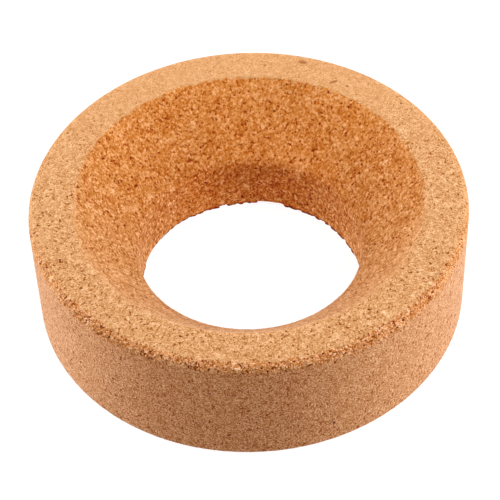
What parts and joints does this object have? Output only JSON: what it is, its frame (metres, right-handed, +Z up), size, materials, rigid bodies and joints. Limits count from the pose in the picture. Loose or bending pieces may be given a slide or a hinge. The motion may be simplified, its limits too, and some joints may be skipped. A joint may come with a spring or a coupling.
{
  "type": "cork flask ring",
  "caption": "Low ring of agglomerated cork with a flat rim, a wide conical seat and a straight bore, which holds a round-bottom flask upright on a bench.",
  "frame": {"origin": "centre of the base, on the surface that the ring stands on", "axes": "+Z up the ring's axis, out of the seat; +X and +Y are any two directions across it"},
  "size_m": [0.11, 0.11, 0.0325],
  "materials": {
    "cork": "pressed cork grains, ground on every face"
  },
  "bodies": {
    "root": {"cork_ring": "cork"}
  },
  "joints": []
}
